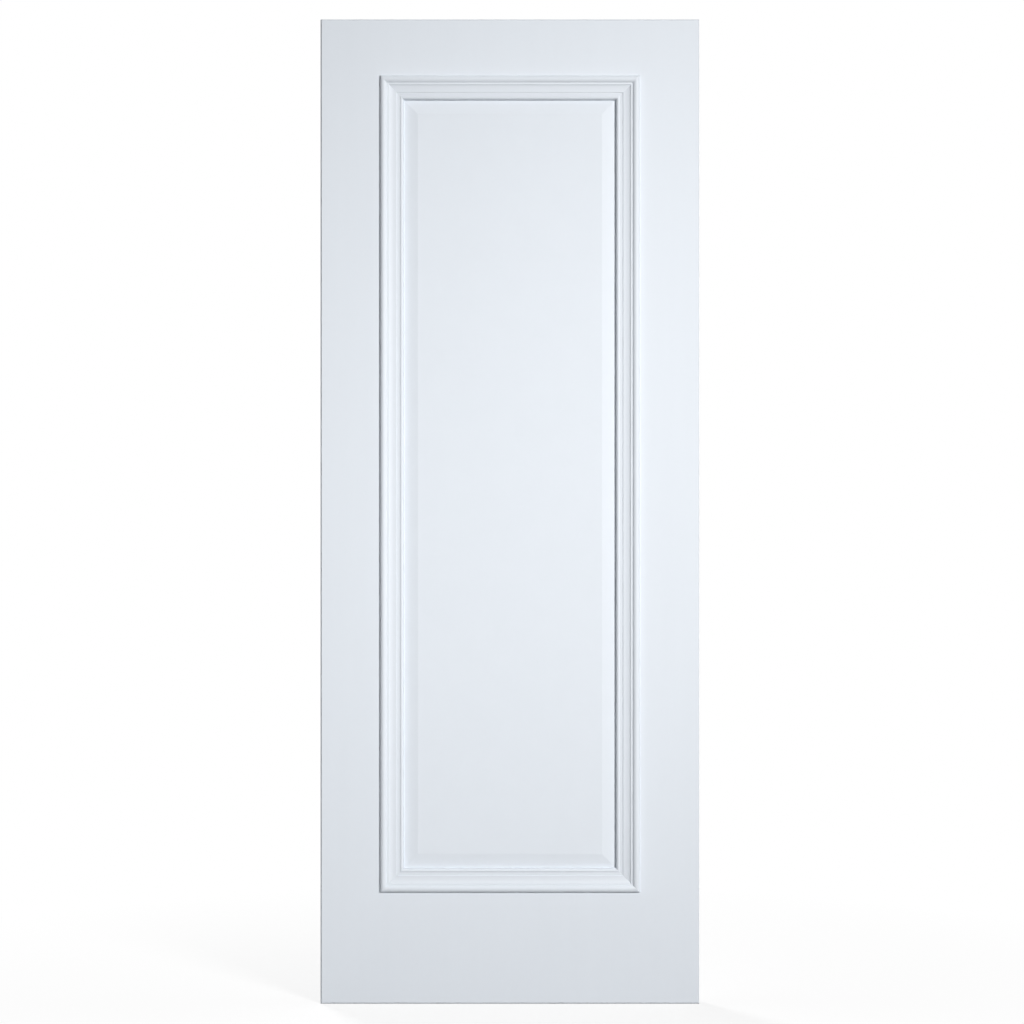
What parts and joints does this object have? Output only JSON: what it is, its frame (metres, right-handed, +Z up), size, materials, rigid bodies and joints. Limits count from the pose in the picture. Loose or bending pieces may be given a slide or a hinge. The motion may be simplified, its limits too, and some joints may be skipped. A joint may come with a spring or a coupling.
{
  "type": "bolection moulded door leaf",
  "caption": "White primed interior door leaf: one tall raised and fielded panel framed by mitred bolection mouldings on both faces.",
  "frame": {"origin": "on the hinge edge, halfway up it and halfway through the leaf's thickness", "axes": "+X across the leaf from the hinge edge to the lock edge, +Z up, and the front of the leaf faces -Y"},
  "size_m": [0.762, 0.0516, 1.981],
  "materials": {
    "primed_timber": "white primer, brushed satin, on planed softwood",
    "primed_skin": "white primer, smooth satin, on thin fibreboard",
    "primed_panel": "white primer, smooth satin, on machined fibreboard",
    "primed_moulding": "white primer, smooth satin, on moulded fibreboard"
  },
  "bodies": {
    "root": {"hanging_stile_core": "primed_timber", "lock_stile_core": "primed_timber", "top_rail_core": "primed_timber", "bottom_rail_core": "primed_timber", "hanging_stile_lipping": "primed_timber", "lock_stile_lipping": "primed_timber", "hanging_stile_front_skin": "primed_skin", "hanging_stile_back_skin": "primed_skin", "lock_stile_front_skin": "primed_skin", "lock_stile_back_skin": "primed_skin", "top_rail_front_skin": "primed_skin", "top_rail_back_skin": "primed_skin", "bottom_rail_front_skin": "primed_skin", "bottom_rail_back_skin": "primed_skin", "raised_panel": "primed_panel", "front_moulding_left": "primed_moulding", "front_moulding_right": "primed_moulding", "front_moulding_bottom": "primed_moulding", "front_moulding_top": "primed_moulding", "back_moulding_left": "primed_moulding", "back_moulding_right": "primed_moulding", "back_moulding_bottom": "primed_moulding", "back_moulding_top": "primed_moulding"}
  },
  "joints": []
}
